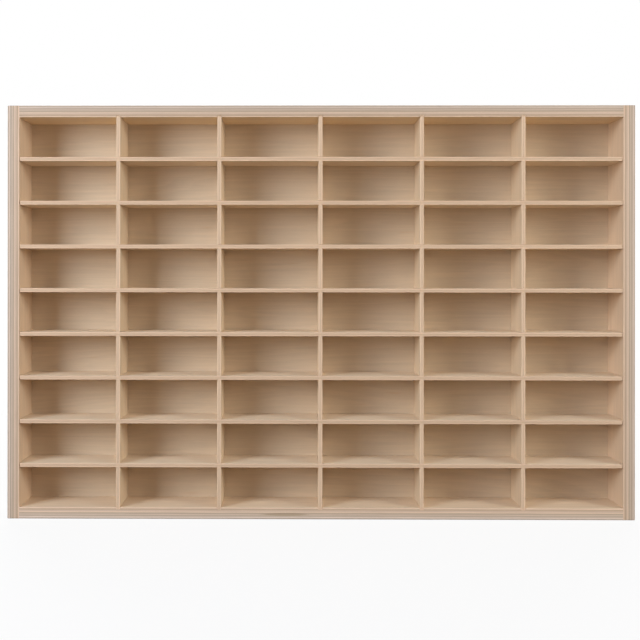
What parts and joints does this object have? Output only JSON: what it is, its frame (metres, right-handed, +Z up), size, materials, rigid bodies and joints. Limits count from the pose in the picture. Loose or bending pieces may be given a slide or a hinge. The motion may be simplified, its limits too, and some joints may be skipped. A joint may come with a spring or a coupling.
{
  "type": "cubby shelf",
  "caption": "Shallow open-fronted plywood cubby shelf: a frame around a half-lapped grid of wide, low cells, with a captured back and keyholes for hanging.",
  "frame": {"origin": "middle of the base, where the box around the shelf has its bottom centre", "axes": "+Z up, +X to the right as seen from the front, the open front faces -Y and the rear +Y"},
  "size_m": [0.644, 0.06, 0.425],
  "materials": {
    "frame_ply": "raw sanded birch plywood with nine plies on its edges",
    "back_ply": "raw sanded birch plywood",
    "rail_ply": "raw sanded birch plywood",
    "divider_ply": "raw sanded birch plywood with three plies on its edges",
    "shelf_ply": "raw sanded birch plywood with three plies on its edges",
    "dowel_beech": "fluted beech"
  },
  "bodies": {
    "root": {"left_side": "frame_ply", "right_side": "frame_ply", "top_panel": "frame_ply", "bottom_panel": "frame_ply", "back_panel": "back_ply", "hanging_rail": "rail_ply", "divider_1": "divider_ply", "divider_2": "divider_ply", "divider_3": "divider_ply", "divider_4": "divider_ply", "divider_5": "divider_ply", "shelf_1": "shelf_ply", "shelf_2": "shelf_ply", "shelf_3": "shelf_ply", "shelf_4": "shelf_ply", "shelf_5": "shelf_ply", "shelf_6": "shelf_ply", "shelf_7": "shelf_ply", "shelf_8": "shelf_ply", "dowels_top_left": "dowel_beech", "dowels_top_right": "dowel_beech", "dowels_bottom_left": "dowel_beech", "dowels_bottom_right": "dowel_beech"}
  },
  "joints": []
}
